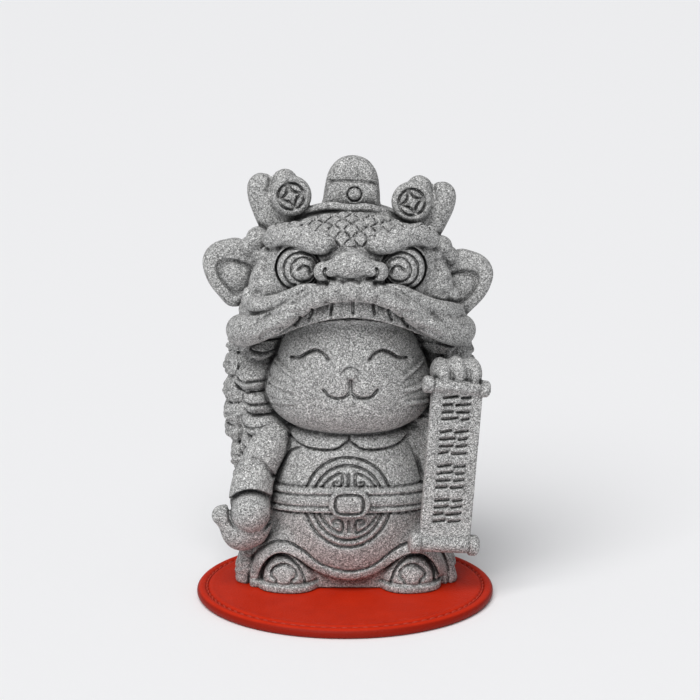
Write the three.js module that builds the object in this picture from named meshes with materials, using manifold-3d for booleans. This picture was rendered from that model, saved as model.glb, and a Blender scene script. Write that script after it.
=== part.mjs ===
// A lucky cat dressed for the lion dance, cast in stone composite in one piece, on a round leather pad.
// Units are millimetres and +Z is up. The cat faces -Y. The origin is the centre of the pad's underside.
import * as THREE from "three";
import { mergeVertices } from "three/addons/utils/BufferGeometryUtils.js";
import Module from "manifold-3d";

const wasm = await Module();
wasm.setup();

// Driving dimensions of the pad.
const PAD_RADIUS = 50;
const PAD_THICKNESS = 3.2;
const STITCH_RADIUS = 46.6;
const STITCH_GROOVE = 0.9;
const THREAD_RADIUS = 0.22;
const PAD_SIDES = 36;

// Where the figure stands: a little right of the pad's centre and behind it.
const REST_GAP = 0.05;
const FIGURE_PLACE = [1, 10, PAD_THICKNESS + REST_GAP];

// Driving dimensions of the figure. Places are [x, y, z] from the middle of its own underside.
const FACE_X = 0.6;
const HAT_X = 1;
const HAT_TILT = 2.8;
const HAT_PIVOT = [0.4, 0, 106];
const HEAD_PROFILE = [
  [52.4, 9, 9], [54, 16.4, 15.6], [57.4, 23.2, 21.4], [61.5, 27.2, 24.6], [66, 28.8, 25.8], [71, 27.6, 26.6],
  [77, 24.9, 26.6], [84, 22.4, 24.8], [90, 19.2, 21.2], [96, 12.6, 15],
];
const TORSO_CENTRE_Y = 0.5;
const TORSO_DEPTH_RATIO = 0.93;
const TORSO_TOP = 58;
const TORSO_PROFILE = [
  [0, 16.5], [3.6, 16.5], [4, 21.2], [10, 24.2], [19, 26.6], [29, 27], [38, 25.4], [46, 22.8], [53.4, 17],
];
const CAPE_CENTRE = [0.5, 9];
const CAPE_DEPTH_RATIO = 0.645;
const CAPE_TOP = 101;
const CAPE_PROFILE = [
  [0, 35.5], [3, 36.6], [8, 35.4], [16, 36.4], [24, 37.8], [32, 39.4], [40, 40.8],
  [50, 42.2], [60, 43.2], [70, 42.6], [80, 41.2], [86, 39], [92, 35.6], [97, 31.4], [CAPE_TOP, 26],
];
const TIER_FIRST = 17.8;
const TIER_PITCH = 8.1;
const TIER_COUNT = 9;
const TIER_DEPTH = 2.4;
const BELT_HEIGHT = 7.6;
const BELT_MIDDLE_Z = 32.6;
const BELT_END_DROP = 3;
const EYE_PLACE = [17.2, -22.6, 110.8];
const EYE_RADIUS = 8;
const SCROLL_PLACE = [33.9, -22, 44.4];
const SCROLL_YAW = 12;
const SCROLL_LEAN = 3.7;
const UPPER_ROD = { place: [35.5, -22.4, 71.3], lean: 2.3, radius: 2.1, width: 19.4 };
const LOWER_ROD = { place: [31.8, -22.4, 17.2], lean: -2, radius: 2.9, width: 20.2 };
const BROW = [
  [9.2, -25.6, 118.8, 3.3], [15.4, -23.4, 120.5, 3.8], [22.8, -18.6, 120.4, 3.4], [26, -15.6, 118.9, 3],
];
const CHEEK_TRIM = [
  [11.2, -28.8, 106.1, 0.8], [19.7, -25.8, 102.3, 1.9], [27.9, -19.5, 97.5, 2.6], [34.6, -9, 95.3, 2.4],
];
const LIP = [
  [0, -31, 104.9, 3.7], [12, -29.4, 102, 3.4], [23.2, -23, 93.8, 3.8], [33.6, -11.6, 87.8, 5.2],
  [36.4, 1, 86, 4.4],
];
const TEETH = [[0, -27.4, 98.4, 3], [12, -24.8, 96.4, 3], [22, -17.6, 91, 2.8]];

const radians = THREE.MathUtils.degToRad;

// The value at height z on a profile of [z, value] stations.
function along(profile, z) {
  const last = profile[profile.length - 1];
  if (z <= profile[0][0]) return profile[0][1];
  if (z >= last[0]) return last[1];
  const next = profile.findIndex(([height]) => height > z);
  const [z0, value0] = profile[next - 1];
  const [z1, value1] = profile[next];
  return value0 + ((value1 - value0) * (z - z0)) / (z1 - z0);
}

// A closed geometry as a solid for joining and cutting.
function solidOf(geometry) {
  const bare = geometry.index ? geometry : mergeVertices(geometry);
  for (const name of ["normal", "uv"]) bare.deleteAttribute(name);
  const merged = mergeVertices(bare, 1e-3);
  const corners = [];
  for (let i = 0; i < merged.index.count; i += 3) {
    const [a, b, c] = [0, 1, 2].map((k) => merged.index.getX(i + k));
    if (a !== b && b !== c && c !== a) corners.push(a, b, c);
  }
  return new wasm.Manifold(
    new wasm.Mesh({
      numProp: 3,
      vertProperties: merged.attributes.position.array,
      triVerts: new Uint32Array(corners),
    }),
  );
}

function meshOf(solid, name, material) {
  const { vertProperties, triVerts } = solid.getMesh();
  const geometry = new THREE.BufferGeometry();
  geometry.setAttribute("position", new THREE.BufferAttribute(vertProperties, 3));
  geometry.setIndex(new THREE.BufferAttribute(triVerts, 1));
  geometry.computeVertexNormals();
  const mesh = new THREE.Mesh(geometry, material);
  mesh.name = name;
  return mesh;
}

function joined(solids) {
  return solids.flat(Infinity).reduce((whole, piece) => whole.add(piece));
}

// Turns about X, then Y, then Z, in degrees, then moves to a place.
function placed(geometry, place, turn = [0, 0, 0]) {
  const [turnX, turnY, turnZ] = turn.map(radians);
  return geometry.rotateX(turnX).rotateY(turnY).rotateZ(turnZ).translate(...place);
}

// An egg: a sphere of three radii with its poles up and down.
function egg(place, radii, turn, around = 9, rings = 7) {
  const geometry = new THREE.SphereGeometry(1, around, rings).rotateX(Math.PI / 2);
  return solidOf(placed(geometry.scale(...radii), place, turn));
}

// A rounded limb through stations of [x, y, z, radius], made from a sphere drawn out along a curve.
function limb(stations, around = 8, steps = 7, caps = 2) {
  const rows = steps + 2 * caps;
  const curve = new THREE.CatmullRomCurve3(stations.map(([x, y, z]) => new THREE.Vector3(x, y, z)));
  const frames = curve.computeFrenetFrames(steps, false);
  const geometry = new THREE.SphereGeometry(1, around, rows);
  const position = geometry.attributes.position;
  const vertex = new THREE.Vector3();
  for (let i = 0; i < position.count; i++) {
    vertex.fromBufferAttribute(position, i);
    const row = Math.round((Math.acos(THREE.MathUtils.clamp(vertex.y, -1, 1)) / Math.PI) * rows);
    const turn = Math.atan2(vertex.z, vertex.x);
    const step = THREE.MathUtils.clamp(row - caps, 0, steps);
    const share = step / steps;
    const station = share * (stations.length - 1);
    const lower = Math.min(Math.floor(station), stations.length - 2);
    const radius = THREE.MathUtils.lerp(stations[lower][3], stations[lower + 1][3], station - lower);
    const past = row < caps ? caps - row : Math.max(0, row - caps - steps);
    const lean = ((past / caps) * Math.PI) / 2;
    const ring = past === caps ? 0 : radius * Math.cos(lean);
    const ahead = radius * Math.sin(lean) * (row < caps ? -1 : 1);
    const point = curve.getPoint(share);
    point.addScaledVector(frames.tangents[step], ahead);
    point.addScaledVector(frames.normals[step], ring * Math.cos(turn));
    point.addScaledVector(frames.binormals[step], ring * Math.sin(turn));
    position.setXYZ(i, ...point);
  }
  const solid = solidOf(geometry);
  if (solid.volume() > 0) return solid;
  geometry.index.array.reverse();
  return solidOf(geometry);
}

// A plate cut to an outline of [x, z] points on a smooth curve, with soft edges. It faces -Y.
function plate(outline, thickness, soft, steps = 20) {
  const curve = new THREE.CatmullRomCurve3(
    outline.map(([x, z]) => new THREE.Vector3(x, z, 0)),
    true,
  );
  const points = curve.getPoints(steps).slice(0, -1);
  const shape = new THREE.Shape(points.map(({ x, y }) => new THREE.Vector2(x, y)));
  return new THREE.ExtrudeGeometry(shape, {
    depth: thickness - 2 * soft,
    bevelThickness: soft,
    bevelSize: soft,
    bevelOffset: -soft,
    bevelSegments: 1,
    steps: 1,
  })
    .translate(0, 0, soft - thickness / 2)
    .rotateX(Math.PI / 2);
}

// A turned piece about Z through stations of [radius, z] that start and end on the axis.
function turned(stations, segments) {
  const points = stations.map(([radius, z]) => new THREE.Vector2(radius, z));
  return new THREE.LatheGeometry(points, segments).rotateX(Math.PI / 2).rotateZ(Math.PI / 2);
}

// A body of ellipses through stations of [z, half width, half depth], closed flat at both ends.
function loft(stations, around) {
  const [foot, crown] = [stations[0][0], stations[stations.length - 1][0]];
  const geometry = turned([[0, foot], ...stations.map(([z]) => [1, z]), [0, crown]], around);
  const widths = stations.map(([z, width]) => [z, width]);
  const depths = stations.map(([z, , depth]) => [z, depth]);
  const position = geometry.attributes.position;
  for (let i = 0; i < position.count; i++) {
    const z = position.getZ(i);
    position.setX(i, position.getX(i) * along(widths, z));
    position.setY(i, position.getY(i) * along(depths, z));
  }
  return geometry;
}

// Copies for the cat's right (-1) and left (+1) side.
function bothSides(make) {
  return [-1, 1].map(make);
}

// Stations whose x is counted from a middle, put on one side of it.
function onSide(stations, side, middle) {
  return stations.map(([x, ...rest]) => [middle + side * x, ...rest]);
}

function torso() {
  const stations = TORSO_PROFILE.map(([z, radius]) => [radius, z]);
  const body = turned([[0, 0], ...stations, [0, TORSO_TOP]], 20)
    .scale(1, TORSO_DEPTH_RATIO, 1)
    .translate(0, TORSO_CENTRE_Y, 0);
  const kneeRadii = [11, 13.6, 12.6];
  const knees = bothSides((side) => egg([side * 20.5, -6, 7], kneeRadii, [0, 0, side * 10], 10, 7));
  return [solidOf(body), knees];
}

// The trimmed edge of the robe, which waves over both shoes.
function hem() {
  return limb(
    [
      [-31.4, -7.4, 7.4, 1.4], [-28.7, -13, 12.8, 1.7], [-25, -15.8, 15.7, 1.8], [-20, -18.2, 14.9, 1.8],
      [-15.2, -20, 12.7, 1.8], [-10.8, -20.4, 9, 1.8], [-5.6, -20.4, 6.6, 1.8], [0.6, -20.4, 5.8, 1.8],
      [6.4, -20.4, 6.5, 1.8], [10.8, -20.4, 8.5, 1.8], [15, -20, 11.8, 1.8], [20.4, -18, 14, 1.8],
      [25.6, -15.4, 13.4, 1.7], [29, -12, 11, 1.4],
    ],
    5,
    15,
    1,
  );
}

function shoes() {
  return bothSides((side) => {
    const place = [side * 20.6, -9.4, 0];
    const turn = [0, 0, side * 14];
    const sole = new THREE.CylinderGeometry(1, 0.97, 2.7, 14).rotateX(Math.PI / 2).translate(0, 0, 0.5);
    return [
      egg([place[0], place[1], 1.4], [9, 12.4, 11.8], turn, 11, 8),
      solidOf(placed(sole.scale(9.7, 13, 1), [place[0], place[1], 0.6], turn)),
    ];
  });
}

function belt() {
  const border = 1.8;
  const half = BELT_HEIGHT / 2;
  const stations = [
    [20, -half], [28.2, -half], [28.2, border - half], [27.6, border - half],
    [27.6, half - border], [28.1, half - border], [27.9, half], [20, half], [20, -half],
  ];
  const band = turned(stations, 24).scale(1, TORSO_DEPTH_RATIO, 1);
  const position = band.attributes.position;
  for (let i = 0; i < position.count; i++) {
    const sag = BELT_END_DROP * (position.getX(i) / 28) ** 2;
    position.setZ(i, position.getZ(i) + BELT_MIDDLE_Z - sag);
  }
  const buckle = [0.2, -26.4, 31.6];
  const octagon = (width, height, cut) => {
    const [x, z] = [width / 2, height / 2];
    return [
      [-x, cut - z], [-x, z - cut], [cut - x, z], [x - cut, z],
      [x, z - cut], [x, cut - z], [x - cut, -z], [cut - x, -z],
    ];
  };
  const frame = plate(octagon(12.8, 10.4, 2.6), 3, 0.7, 16);
  const panel = plate(octagon(8.8, 6.2, 1.6), 2, 0.5, 12);
  return [
    solidOf(band.translate(0, TORSO_CENTRE_Y, 0)),
    solidOf(frame.translate(...buckle)),
    solidOf(panel.translate(buckle[0], buckle[1] - 1.2, buckle[2])),
  ];
}

// The face's front surface at a place on it.
function faceY(x, z) {
  const width = along(HEAD_PROFILE.map(([height, half]) => [height, half]), z);
  const depth = along(HEAD_PROFILE.map(([height, , half]) => [height, half]), z);
  return -depth * Math.sqrt(Math.max(0, 1 - ((x - FACE_X) / width) ** 2));
}

function head() {
  return solidOf(loft(HEAD_PROFILE, 18).translate(FACE_X, 0, 0));
}

// A line that lies on the face through stations of [x, z, radius], at the same places on both sides.
function onFace(stations, steps) {
  return bothSides((side) => {
    const line = stations.map(([fromMiddle, z, radius]) => {
      const x = FACE_X + side * fromMiddle;
      return [x, faceY(x, z), z, radius];
    });
    return limb(line, 4, steps, 1);
  });
}

// The cat's closed eyes and smile are cut into the face.
function faceLines() {
  return [
    onFace([[6.8, 80.6, 0.7], [10.8, 83.5, 0.8], [14.6, 81.4, 0.8], [18.4, 80, 0.6]], 6),
    onFace([[0.2, 70.6, 0.6], [4.4, 67.8, 0.7], [8.6, 70.8, 0.5]], 4),
  ];
}

function collar() {
  const lobe = [[2.6, -18.6, 51.6, 2.9], [10, -17.2, 52.4, 3.1], [17.4, -12.8, 53.8, 2.8], [22, -7, 55.4, 2]];
  return bothSides((side) => limb(onSide(lobe, side, 0), 6, 5, 1));
}

// The cat's right arm, with the ingot in its paw.
function armWithIngot() {
  const sleeve = [
    [-24.6, -6, 50.4, 5.2], [-27.6, -8.6, 45.8, 6.6], [-31.6, -11, 37.4, 6.7], [-32, -14, 32.6, 7.2],
  ];
  return [
    limb(sleeve, 8, 5),
    egg([-32.1, -19.8, 29.2], [6.3, 5.6, 5.2]),
    egg([-34.6, -16.4, 20.4], [8, 6.6, 7]),
    limb([[-37.6, -17, 21.6, 4.6], [-43, -18.4, 26.6, 2.7]], 8, 2),
  ];
}

// The cat's left arm, raised behind the scroll, and the paw on top of it.
function armWithPaw() {
  const toes = [[30.4, 75.2, 3.4], [35.6, 76, 3.8], [40.7, 74.6, 3.3]];
  const sleeve = [
    [21, -2, 48, 6.2], [31, -5, 45, 8], [36, -9, 52, 7.4], [36, -12, 64, 6.4], [36, -15, 73, 5.6],
  ];
  return [
    limb(sleeve, 8, 6),
    limb([[34, -8, 46, 7], [33, -9, 34, 7.6], [32.4, -9, 26, 6]], 8, 3),
    toes.map(([x, z, radius]) => egg([x, -19.4, z], [radius, 6, 5], undefined, 8, 6)),
  ];
}

// The hanging scroll: a banner between two rollers, held a little turned and leaning.
function scroll() {
  const banner = new THREE.BoxGeometry(17.2, 2.8, 54.6);
  const roller = ({ place, lean, radius, width }) => {
    const cap = radius + 0.7;
    const rod = new THREE.CylinderGeometry(radius, radius, width, 8).rotateZ(Math.PI / 2);
    const knobs = bothSides((side) => {
      const knob = new THREE.CylinderGeometry(cap, cap, 3.2, 10).rotateZ(Math.PI / 2);
      return knob.translate((side * width) / 2, 0, 0);
    });
    return [rod, ...knobs].map((geometry) => solidOf(placed(geometry, place, [0, lean, SCROLL_YAW])));
  };
  return [
    solidOf(placed(banner, SCROLL_PLACE, [0, SCROLL_LEAN, SCROLL_YAW])),
    roller(UPPER_ROD),
    roller(LOWER_ROD),
  ];
}

// The cape hangs in rows of fur down the sides and the back.
function cape() {
  const stations = CAPE_PROFILE.slice(0, 3).map(([z, radius]) => [radius, z]);
  for (let tier = 0; tier < TIER_COUNT; tier++) {
    const notch = TIER_FIRST + tier * TIER_PITCH;
    stations.push([along(CAPE_PROFILE, notch) - TIER_DEPTH, notch]);
    const swell = notch + TIER_PITCH / 2;
    stations.push([along(CAPE_PROFILE, swell), swell]);
  }
  const shoulder = CAPE_TOP - 2;
  stations.push([along(CAPE_PROFILE, shoulder), shoulder]);
  const mantle = turned([[0, 0], ...stations, [0, CAPE_TOP]], 20).scale(1, CAPE_DEPTH_RATIO, 1);
  const folds = [[-32.4, -4.6, 4.6], [31, 0, 4.6]].map((place) => egg(place, [5.2, 9, 8.6]));
  return [solidOf(mantle.translate(...CAPE_CENTRE, 0)), folds];
}

// The hollows that part the face and the belly from the cape and the hat.
function hollows() {
  return [
    egg([FACE_X, -16, 70], [31.4, 24, 26.6], undefined, 16, 9),
    egg([FACE_X, -19, 36], [30.5, 19, 27], undefined, 12, 8),
  ];
}

// The lion's head, worn as a hat: a dome with brows, eyes, nose, upper lip and teeth.
function dome() {
  return egg([HAT_X, 5, 97], [34.4, 32, 31], undefined, 16, 11);
}

function lionFace() {
  const [eyeX, eyeY, eyeZ] = EYE_PLACE;
  const eyeProfile = [[0, -5], [EYE_RADIUS, -5], [EYE_RADIUS, 1], [6.4, 2.2], [3, 4.5], [0, 4.9]];
  const sides = bothSides((side) => {
    const eye = turned(eyeProfile, 12).rotateX(Math.PI / 2);
    return [
      solidOf(placed(eye, [HAT_X + side * eyeX, eyeY, eyeZ], [-8, 0, side * 28])),
      egg([HAT_X + side * 7.6, -30, 110.6], [3.8, 3.8, 3.2], undefined, 8, 6),
      limb(onSide(BROW, side, HAT_X), 7, 4),
      limb(onSide(CHEEK_TRIM, side, HAT_X), 5, 4, 1),
      limb(onSide(LIP, side, HAT_X), 7, 7),
      limb(onSide(TEETH, side, HAT_X), 6, 3, 1),
    ];
  });
  return [
    sides,
    egg([HAT_X, -7.5, 105], [27, 21.5, 18], undefined, 14, 9),
    egg([HAT_X, -12, 112.5], [14, 15, 12], undefined, 12, 8),
    egg([HAT_X - 0.1, -30, 112.9], [5.5, 5.4, 4.6], undefined, 10, 7),
  ];
}

// The parts that stand up from the hat: ears, tufts, horns, crest and headband. They lean to the cat's left.
function hatTop() {
  const earOutline = [
    [-36, 113.8], [-41, 113.6], [-45.2, 112], [-47.9, 109], [-48.5, 105.2], [-46.7, 99.8], [-43, 95],
    [-38, 91.2], [-30, 95], [-29, 108],
  ];
  const earHollow = [
    [-44.8, 108.4], [-40.8, 109.4], [-35.4, 108], [-31, 105.6], [-34, 98.6], [-37.4, 96.2], [-42.3, 100],
    [-45, 104.6],
  ];
  const hornOutline = [
    [-34.6, 131.2], [-33.6, 134.8], [-30.4, 136.4], [-27.8, 135.6], [-24, 137.9], [-19.4, 136.6], [-16, 133],
    [-16.4, 127], [-20, 119.6], [-28.4, 117], [-32.6, 124.4],
  ];
  const crestOutline = [
    [-11.4, 124], [-10.2, 133], [-8, 140.9], [-0.8, 144.6], [6.4, 140.9], [8.6, 133], [9.8, 124], [-0.8, 122],
  ];
  const flip = (outline, side) => (side < 0 ? outline : outline.map(([x, z]) => [-x, z]).reverse());
  const sides = bothSides((side) => {
    const ear = solidOf(plate(flip(earOutline, side), 7.6, 1.6, 14).translate(0, 2, 0));
    const hollow = solidOf(plate(flip(earHollow, side), 4, 0.4, 12).translate(0, -1.6, 0));
    const disc = turned([[0, -3], [7.1, -3], [7.1, 1.6], [5.2, 2.5], [0, 2.2]], 12).rotateX(Math.PI / 2);
    return [
      ear.subtract(hollow),
      solidOf(plate(flip(hornOutline, side), 8, 2, 18).translate(0, 2.6, 0)),
      solidOf(placed(disc, [side * 20.1, -3.4, 130.6], [-10, 0, 0])),
      egg([side * 31, -1, 113.4], [4.4, 6, 4.4], undefined, 8, 6),
    ];
  });
  const crest = solidOf(plate(crestOutline, 8, 2.2, 16).translate(0, 3, 0));
  const stud = turned([[0, -2], [3.4, -2], [3.2, 0.2], [0, 0.4]], 10).rotateX(Math.PI / 2);
  const headband = limb(
    [[-15.5, -1.5, 125, 1.2], [-6, -4.8, 127.8, 1.5], [4.4, -4.8, 127.8, 1.5], [14, -1.5, 125, 1.2]], 5, 5, 1,
  );
  const [pivotX, pivotY, pivotZ] = HAT_PIVOT;
  return joined([sides, crest, solidOf(placed(stud, [-0.2, -1.8, 131.6])), headband])
    .translate([0, -pivotY, -pivotZ])
    .rotate([0, HAT_TILT, 0])
    .translate([pivotX, pivotY, pivotZ]);
}

function figure() {
  const costume = hollows().reduce((left, hollow) => left.subtract(hollow), joined([cape(), dome()]));
  const body = joined([
    costume, head(), lionFace(), hatTop(), torso(), hem(), shoes(), belt(), collar(),
    armWithIngot(), armWithPaw(), scroll(),
  ]);
  const [groundWidth, groundDepth] = [200, 40];
  const below = new THREE.BoxGeometry(groundWidth, groundWidth, groundDepth);
  const ground = solidOf(below.translate(0, 0, -groundDepth / 2));
  return body.subtract(joined(faceLines())).subtract(ground);
}

// The pad is a padded leather disc with a rolled rim and a stitched groove.
function pad() {
  const half = PAD_THICKNESS / 2;
  const rim = [-50, 0, 50].map((angle) => [
    PAD_RADIUS - half + half * Math.cos(radians(angle)),
    half + half * Math.sin(radians(angle)),
  ]);
  const groove = [
    [STITCH_RADIUS + STITCH_GROOVE, PAD_THICKNESS], [STITCH_RADIUS, PAD_THICKNESS - STITCH_GROOVE],
    [STITCH_RADIUS - STITCH_GROOVE, PAD_THICKNESS],
  ];
  return turned([[0, 0], [PAD_RADIUS - half, 0], ...rim, ...groove, [0, PAD_THICKNESS]], PAD_SIDES);
}

function stitching() {
  return new THREE.TorusGeometry(STITCH_RADIUS, THREAD_RADIUS, 3, PAD_SIDES).translate(0, 0, PAD_THICKNESS);
}

const stone = new THREE.MeshStandardMaterial({ color: 0x8f908e, roughness: 0.9, metalness: 0 });
const leather = new THREE.MeshStandardMaterial({ color: 0xb8301c, roughness: 0.55, metalness: 0 });
const thread = new THREE.MeshStandardMaterial({ color: 0xa02a18, roughness: 0.7, metalness: 0 });

const group = new THREE.Group();
const cat = meshOf(figure(), "lion_dance_cat", stone);
cat.position.set(...FIGURE_PLACE);
group.add(cat);
group.add(meshOf(solidOf(pad()), "leather_pad", leather));
group.add(meshOf(solidOf(stitching()), "pad_stitching", thread));

export default group;
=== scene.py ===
"""A lucky cat dressed for the lion dance, cast in grey stone, on a round pad of red leather."""
import math

import bpy
import numpy as np
import openvdb
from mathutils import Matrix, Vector


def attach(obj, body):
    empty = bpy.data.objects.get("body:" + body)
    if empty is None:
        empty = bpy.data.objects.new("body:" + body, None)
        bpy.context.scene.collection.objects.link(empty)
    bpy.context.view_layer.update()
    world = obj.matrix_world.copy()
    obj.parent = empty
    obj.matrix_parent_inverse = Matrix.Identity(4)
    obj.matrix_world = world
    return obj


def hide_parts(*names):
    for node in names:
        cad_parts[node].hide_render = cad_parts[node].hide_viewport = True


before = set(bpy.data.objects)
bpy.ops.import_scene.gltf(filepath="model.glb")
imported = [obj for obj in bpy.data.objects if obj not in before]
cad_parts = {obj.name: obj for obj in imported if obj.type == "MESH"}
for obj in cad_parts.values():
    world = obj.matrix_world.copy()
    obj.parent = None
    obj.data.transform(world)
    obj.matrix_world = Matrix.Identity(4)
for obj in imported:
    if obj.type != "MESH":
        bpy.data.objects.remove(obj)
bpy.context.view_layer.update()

# Lengths are millimetres until they are made into a mesh. The figure and the pad each have their own
# origin, in the middle of their underside.
MM = 0.001
PAD_RADIUS = 50
PAD_THICKNESS = 3.2
PAD_TURNS = 860
STITCH_RADIUS = 46.6
STITCH_COUNT = 86
STITCH_LENGTH = 2.5
THREAD_RADIUS = 0.3
FIGURE_PLACE = (1, 10, PAD_THICKNESS + 0.05)

# The block that the stone is worked in. It keeps distances up to FAR, and is carved within SKIN of
# its surface.
BLOCK_LOW = (-52, -39, -1.5)
BLOCK_HIGH = (51, 39, 147)
PITCH = 0.38
FAR = 6.0
SKIN = 3.4
TRIANGLES = 190000

# Grains of the stone to a metre.
GRAIN_FINE = 4000
GRAIN_COARSE = 2300

# The figure's own dimensions.
FACE_X = 0.6
HAT_X = 1
HAT_TILT = 2.8
HAT_PIVOT = (0.4, 106)
HEAD_PROFILE = [
    (51, 9, 9), (52.4, 15.6, 14.8), (56, 22.8, 21.4), (60.6, 27, 24.8), (66, 28.8, 26), (71, 27.6, 26.6),
    (77, 24.9, 26.6), (84, 22.4, 24.8), (90, 19.2, 21.2), (96, 12.6, 15),
]
TORSO_CENTRE_Y = 0.5
TORSO_DEPTH_RATIO = 0.93
TORSO_PROFILE = [
    (0, 22.4), (4, 22.6), (10, 24.4), (19, 26.6), (29, 27), (38, 25.4), (46, 22.8), (50, 20.8), (53.4, 17),
    (58, 9),
]
CAPE_CENTRE = (0.5, 9)
CAPE_DEPTH_RATIO = 0.645
CAPE_PROFILE = [
    (-2, 35.4), (3, 36.6), (8, 35.4), (16, 36.4), (24, 37.8), (32, 39.4), (40, 40.8), (50, 42.2), (60, 43.2),
    (70, 42.6), (80, 41.2), (86, 39), (92, 35.6), (97, 31.4), (101, 26),
]
TIER_FIRST = 17.8
TIER_PITCH = 8.1
TIER_DEPTH = 3
LOCK_COUNT = 20
LOCK_SAG = 1.8
LOCK_FULLEST = 0.42
RELIEF_TOP = 140
RELIEF_STEP = 0.2
BELT_HEIGHT = 7.6
BELT_MIDDLE_Z = 32.6
BELT_END_DROP = 3
EYE_PLACE = (17.2, -22.6, 110.8)
SCROLL_PLACE = (33.9, -22, 44.4)
SCROLL_YAW = 12
SCROLL_LEAN = 4.4
SCALE_WIDTH = 6
SCALE_RISE = 3.7
HEM_WIDTH = 3.1
HEM = [
    (-31.8, 0), (-31.4, 5.6), (-29.2, 10.8), (-25.2, 14.3), (-20.3, 14.8), (-15.6, 12.5), (-11, 9),
    (-5.6, 6.8), (0.7, 5.9), (6.3, 6.7), (11.3, 9.2), (15.2, 12.2), (19.6, 14.5), (25, 14.5), (29.2, 11.4),
    (31.8, 6), (32.2, 0),
]

# The light and the camera, which stands where the photograph was taken from. Places are metres.
KEY_STRENGTH = 2.95
KEY_SPREAD = 50
KEY_FROM = (-0.3, -0.85, 1.1)
SKY_STRENGTH = 0.28
CAMERA_PLACE = (0.001687, -0.80972, 0.26173)
CAMERA_TILT = 77.609
CAMERA_LENS = 128.57
SENSOR_WIDTH = 36


# Curves and distances

def curve(points, steps=6, closed=False):
    """Points on a smooth curve through the given ones, a row for each."""
    points = np.array(points, float)
    if closed:
        ring = np.concatenate([points[-1:], points, points[:2]])
    else:
        ring = np.concatenate([2 * points[:1] - points[1:2], points, 2 * points[-1:] - points[-2:-1]])
    share = (np.arange(steps) / steps)[:, None]
    spans = []
    for before, start, end, after in zip(ring, ring[1:], ring[2:], ring[3:]):
        swing = 2 * before - 5 * start + 4 * end - after
        twist = 3 * start - before - 3 * end + after
        spans.append(start + 0.5 * ((end - before) * share + swing * share**2 + twist * share**3))
    if not closed:
        spans.append(points[-1:])
    return np.concatenate(spans)


def smooth_min(first, second, blend):
    """The lesser of two distances, with a soft fillet of that width where they meet."""
    if blend <= 0:
        return np.minimum(first, second)
    overlap = np.maximum(blend - np.abs(first - second), 0) / blend
    return np.minimum(first, second) - overlap * overlap * blend / 4


def smooth_max(first, second, blend):
    """The greater of two distances, with a soft rounding of that width."""
    return -smooth_min(-first, -second, blend)


def line_gap(u, w, line):
    """How far points in a plane are from an open line."""
    nearest = np.full(np.broadcast_shapes(u.shape, w.shape), 1e6, np.float32)
    for (u0, w0), (u1, w1) in zip(line, line[1:]):
        du, dw = u1 - u0, w1 - w0
        share = np.clip(((u - u0) * du + (w - w0) * dw) / max(du * du + dw * dw, 1e-9), 0, 1)
        nearest = np.minimum(nearest, (u - u0 - share * du) ** 2 + (w - w0 - share * dw) ** 2)
    return np.sqrt(nearest)


def outline_distance(u, w, outline):
    """The distance from points in a plane to a closed outline, negative inside it."""
    inside = np.zeros(np.broadcast_shapes(u.shape, w.shape), bool)
    for (u0, w0), (u1, w1) in zip(outline, np.roll(outline, -1, axis=0)):
        if w0 != w1:
            inside ^= ((w0 > w) != (w1 > w)) & (u < u0 + (w - w0) * (u1 - u0) / (w1 - w0))
    gap = line_gap(u, w, np.concatenate([outline, outline[:1]]))
    return np.where(inside, -gap, gap)


def bump(gap, width):
    """A soft-sided swell: 1 on a line and 0 past half its width."""
    return np.clip(1 - (2 * gap / width) ** 2, 0, 1) ** 2


def ramp(value, start, end):
    """A soft step from 0 at start to 1 at end."""
    share = np.clip((value - start) / (end - start), 0, 1)
    return share * share * (3 - 2 * share)


def turning(turn):
    """The matrix that turns about X, then Y, then Z, by angles in degrees."""
    matrix = np.eye(3)
    for axis, angle in enumerate(turn):
        c, s = math.cos(math.radians(angle)), math.sin(math.radians(angle))
        i, j = (axis + 1) % 3, (axis + 2) % 3
        step = np.eye(3)
        step[i, i], step[i, j], step[j, i], step[j, j] = c, -s, s, c
        matrix = step @ matrix
    return matrix


def local(x, y, z, place, turn):
    """Coordinates about a place, along axes turned by those angles."""
    dx, dy, dz = x - place[0], y - place[1], z - place[2]
    if not any(turn):
        return dx, dy, dz
    return [dx * column[0] + dy * column[1] + dz * column[2] for column in turning(turn).T]


def upright(x, z):
    """The x and z that a place on the hat would have if the hat didn't lean."""
    c, s = math.cos(math.radians(HAT_TILT)), math.sin(math.radians(HAT_TILT))
    dx, dz = x - HAT_PIVOT[0], z - HAT_PIVOT[1]
    return HAT_PIVOT[0] + dx * c - dz * s, HAT_PIVOT[1] + dx * s + dz * c


def leaning(place):
    """Where a place or a station on the upright hat goes as the hat leans."""
    x, y, z, *rest = place
    c, s = math.cos(math.radians(HAT_TILT)), math.sin(math.radians(HAT_TILT))
    dx, dz = x - HAT_PIVOT[0], z - HAT_PIVOT[1]
    return (HAT_PIVOT[0] + dx * c + dz * s, y, HAT_PIVOT[1] - dx * s + dz * c, *rest)


# Forms: each is a distance function and the box that holds it

class Form:
    """A solid as a distance from its surface, negative inside, and the corners of its box."""

    def __init__(self, low, high, distance):
        self.low = np.array(low, float)
        self.high = np.array(high, float)
        self.distance = distance


def egg(place, radii, turn=(0, 0, 0)):
    """A ball drawn out to three radii."""
    reach = np.array(radii, float) if not any(turn) else np.full(3, max(radii), float)

    def distance(x, y, z):
        u, v, w = local(x, y, z, place, turn)
        a, b, c = radii
        near = np.sqrt((u / a) ** 2 + (v / b) ** 2 + (w / c) ** 2)
        slope = np.sqrt((u / a**2) ** 2 + (v / b**2) ** 2 + (w / c**2) ** 2)
        return near * (near - 1) / np.maximum(slope, 1e-4)

    return Form(np.array(place) - reach, np.array(place) + reach, distance)


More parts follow.
